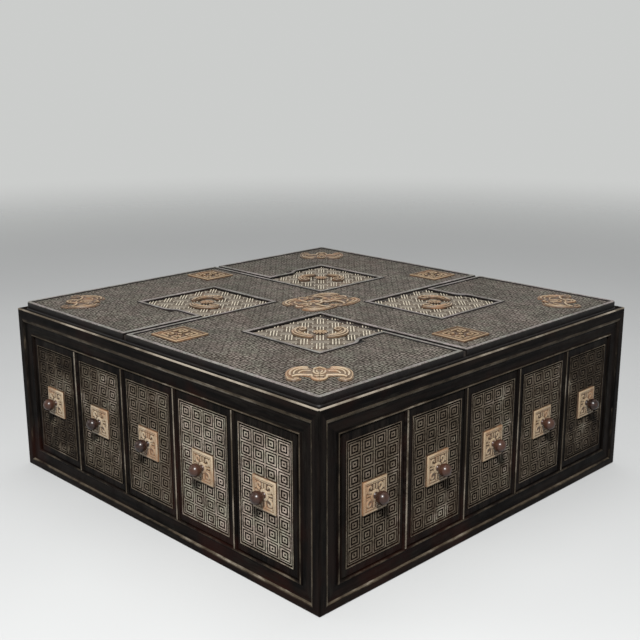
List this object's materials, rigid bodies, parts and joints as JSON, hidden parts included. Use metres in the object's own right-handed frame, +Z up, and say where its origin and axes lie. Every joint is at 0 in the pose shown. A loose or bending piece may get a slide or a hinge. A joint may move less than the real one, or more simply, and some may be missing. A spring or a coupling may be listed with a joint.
{
  "type": "jewelry chest",
  "caption": "Low square dark hardwood jewelry chest with fret-carved drawers on all faces and a lift-off lid with a pinwheel board",
  "frame": {"origin": "centre of the flat underside of the case", "axes": "+Z up; the front face looks along -Y; the right face looks along +X"},
  "size_m": [0.4444, 0.4444, 0.1697],
  "materials": {
    "dark_wood": "near-black hardwood, oiled to a low sheen, worn brown on its arrises",
    "inner_wood": "plain reddish brown hardwood, unpolished",
    "boxwood": "carved boxwood, waxed and darkened in the hollows",
    "knob_wood": "turned dark plum hardwood, polished",
    "light_panel": "dark wood inlaid with pale bars in a mat pattern"
  },
  "bodies": {
    "case": {"base_board": "inner_wood", "bottom_rail_back": "dark_wood", "bottom_rail_front": "dark_wood", "bottom_rail_left": "dark_wood", "bottom_rail_right": "dark_wood", "corner_post_back_left": "dark_wood", "corner_post_back_right": "dark_wood", "corner_post_front_left": "dark_wood", "corner_post_front_right": "dark_wood", "deck_boards": "inner_wood", "drawer_dividers": "dark_wood", "false_front_knobs": "knob_wood", "false_front_plates": "boxwood", "false_fronts": "dark_wood", "top_rail_back": "dark_wood", "top_rail_front": "dark_wood", "top_rail_left": "dark_wood", "top_rail_right": "dark_wood", "well_walls": "dark_wood"},
    "lid": {"lid_board": "dark_wood", "lid_battens": "inner_wood", "pinwheel_board": "dark_wood", "lid_light_panels": "light_panel", "corner_bats": "boxwood", "centre_bats": "boxwood", "side_plaques": "boxwood", "panel_clouds": "boxwood"},
    "front_drawer_2": {"front_drawer_2_front": "dark_wood", "front_drawer_2_tray": "inner_wood"},
    "front_drawer_3": {"front_drawer_3_front": "dark_wood", "front_drawer_3_tray": "inner_wood"},
    "front_drawer_4": {"front_drawer_4_front": "dark_wood", "front_drawer_4_tray": "inner_wood"},
    "front_drawer_5": {"front_drawer_5_front": "dark_wood", "front_drawer_5_tray": "inner_wood"},
    "right_drawer_2": {"right_drawer_2_front": "dark_wood", "right_drawer_2_tray": "inner_wood"},
    "right_drawer_3": {"right_drawer_3_front": "dark_wood", "right_drawer_3_tray": "inner_wood"},
    "right_drawer_4": {"right_drawer_4_front": "dark_wood", "right_drawer_4_tray": "inner_wood"},
    "right_drawer_5": {"right_drawer_5_front": "dark_wood", "right_drawer_5_tray": "inner_wood"},
    "back_drawer_2": {"back_drawer_2_front": "dark_wood", "back_drawer_2_tray": "inner_wood"},
    "back_drawer_3": {"back_drawer_3_front": "dark_wood", "back_drawer_3_tray": "inner_wood"},
    "back_drawer_4": {"back_drawer_4_front": "dark_wood", "back_drawer_4_tray": "inner_wood"},
    "back_drawer_5": {"back_drawer_5_front": "dark_wood", "back_drawer_5_tray": "inner_wood"},
    "left_drawer_2": {"left_drawer_2_front": "dark_wood", "left_drawer_2_tray": "inner_wood"},
    "left_drawer_3": {"left_drawer_3_front": "dark_wood", "left_drawer_3_tray": "inner_wood"},
    "left_drawer_4": {"left_drawer_4_front": "dark_wood", "left_drawer_4_tray": "inner_wood"},
    "left_drawer_5": {"left_drawer_5_front": "dark_wood", "left_drawer_5_tray": "inner_wood"}
  },
  "joints": [
    {"name": "lid_lift", "type": "slide", "parent": "case", "child": "lid", "axis": [0, 0, 1], "range_m": [0, 0.08]},
    {"name": "front_drawer_2_slide", "type": "slide", "parent": "case", "child": "front_drawer_2", "axis": [0, -1, 0], "range_m": [0, 0.07]},
    {"name": "front_drawer_3_slide", "type": "slide", "parent": "case", "child": "front_drawer_3", "axis": [0, -1, 0], "range_m": [0, 0.07]},
    {"name": "front_drawer_4_slide", "type": "slide", "parent": "case", "child": "front_drawer_4", "axis": [0, -1, 0], "range_m": [0, 0.07]},
    {"name": "front_drawer_5_slide", "type": "slide", "parent": "case", "child": "front_drawer_5", "axis": [0, -1, 0], "range_m": [0, 0.07]},
    {"name": "right_drawer_2_slide", "type": "slide", "parent": "case", "child": "right_drawer_2", "axis": [1, 0, 0], "range_m": [0, 0.07]},
    {"name": "right_drawer_3_slide", "type": "slide", "parent": "case", "child": "right_drawer_3", "axis": [1, 0, 0], "range_m": [0, 0.07]},
    {"name": "right_drawer_4_slide", "type": "slide", "parent": "case", "child": "right_drawer_4", "axis": [1, 0, 0], "range_m": [0, 0.07]},
    {"name": "right_drawer_5_slide", "type": "slide", "parent": "case", "child": "right_drawer_5", "axis": [1, 0, 0], "range_m": [0, 0.07]},
    {"name": "back_drawer_2_slide", "type": "slide", "parent": "case", "child": "back_drawer_2", "axis": [0, 1, 0], "range_m": [0, 0.07]},
    {"name": "back_drawer_3_slide", "type": "slide", "parent": "case", "child": "back_drawer_3", "axis": [0, 1, 0], "range_m": [0, 0.07]},
    {"name": "back_drawer_4_slide", "type": "slide", "parent": "case", "child": "back_drawer_4", "axis": [0, 1, 0], "range_m": [0, 0.07]},
    {"name": "back_drawer_5_slide", "type": "slide", "parent": "case", "child": "back_drawer_5", "axis": [0, 1, 0], "range_m": [0, 0.07]},
    {"name": "left_drawer_2_slide", "type": "slide", "parent": "case", "child": "left_drawer_2", "axis": [-1, 0, 0], "range_m": [0, 0.07]},
    {"name": "left_drawer_3_slide", "type": "slide", "parent": "case", "child": "left_drawer_3", "axis": [-1, 0, 0], "range_m": [0, 0.07]},
    {"name": "left_drawer_4_slide", "type": "slide", "parent": "case", "child": "left_drawer_4", "axis": [-1, 0, 0], "range_m": [0, 0.07]},
    {"name": "left_drawer_5_slide", "type": "slide", "parent": "case", "child": "left_drawer_5", "axis": [-1, 0, 0], "range_m": [0, 0.07]}
  ]
}
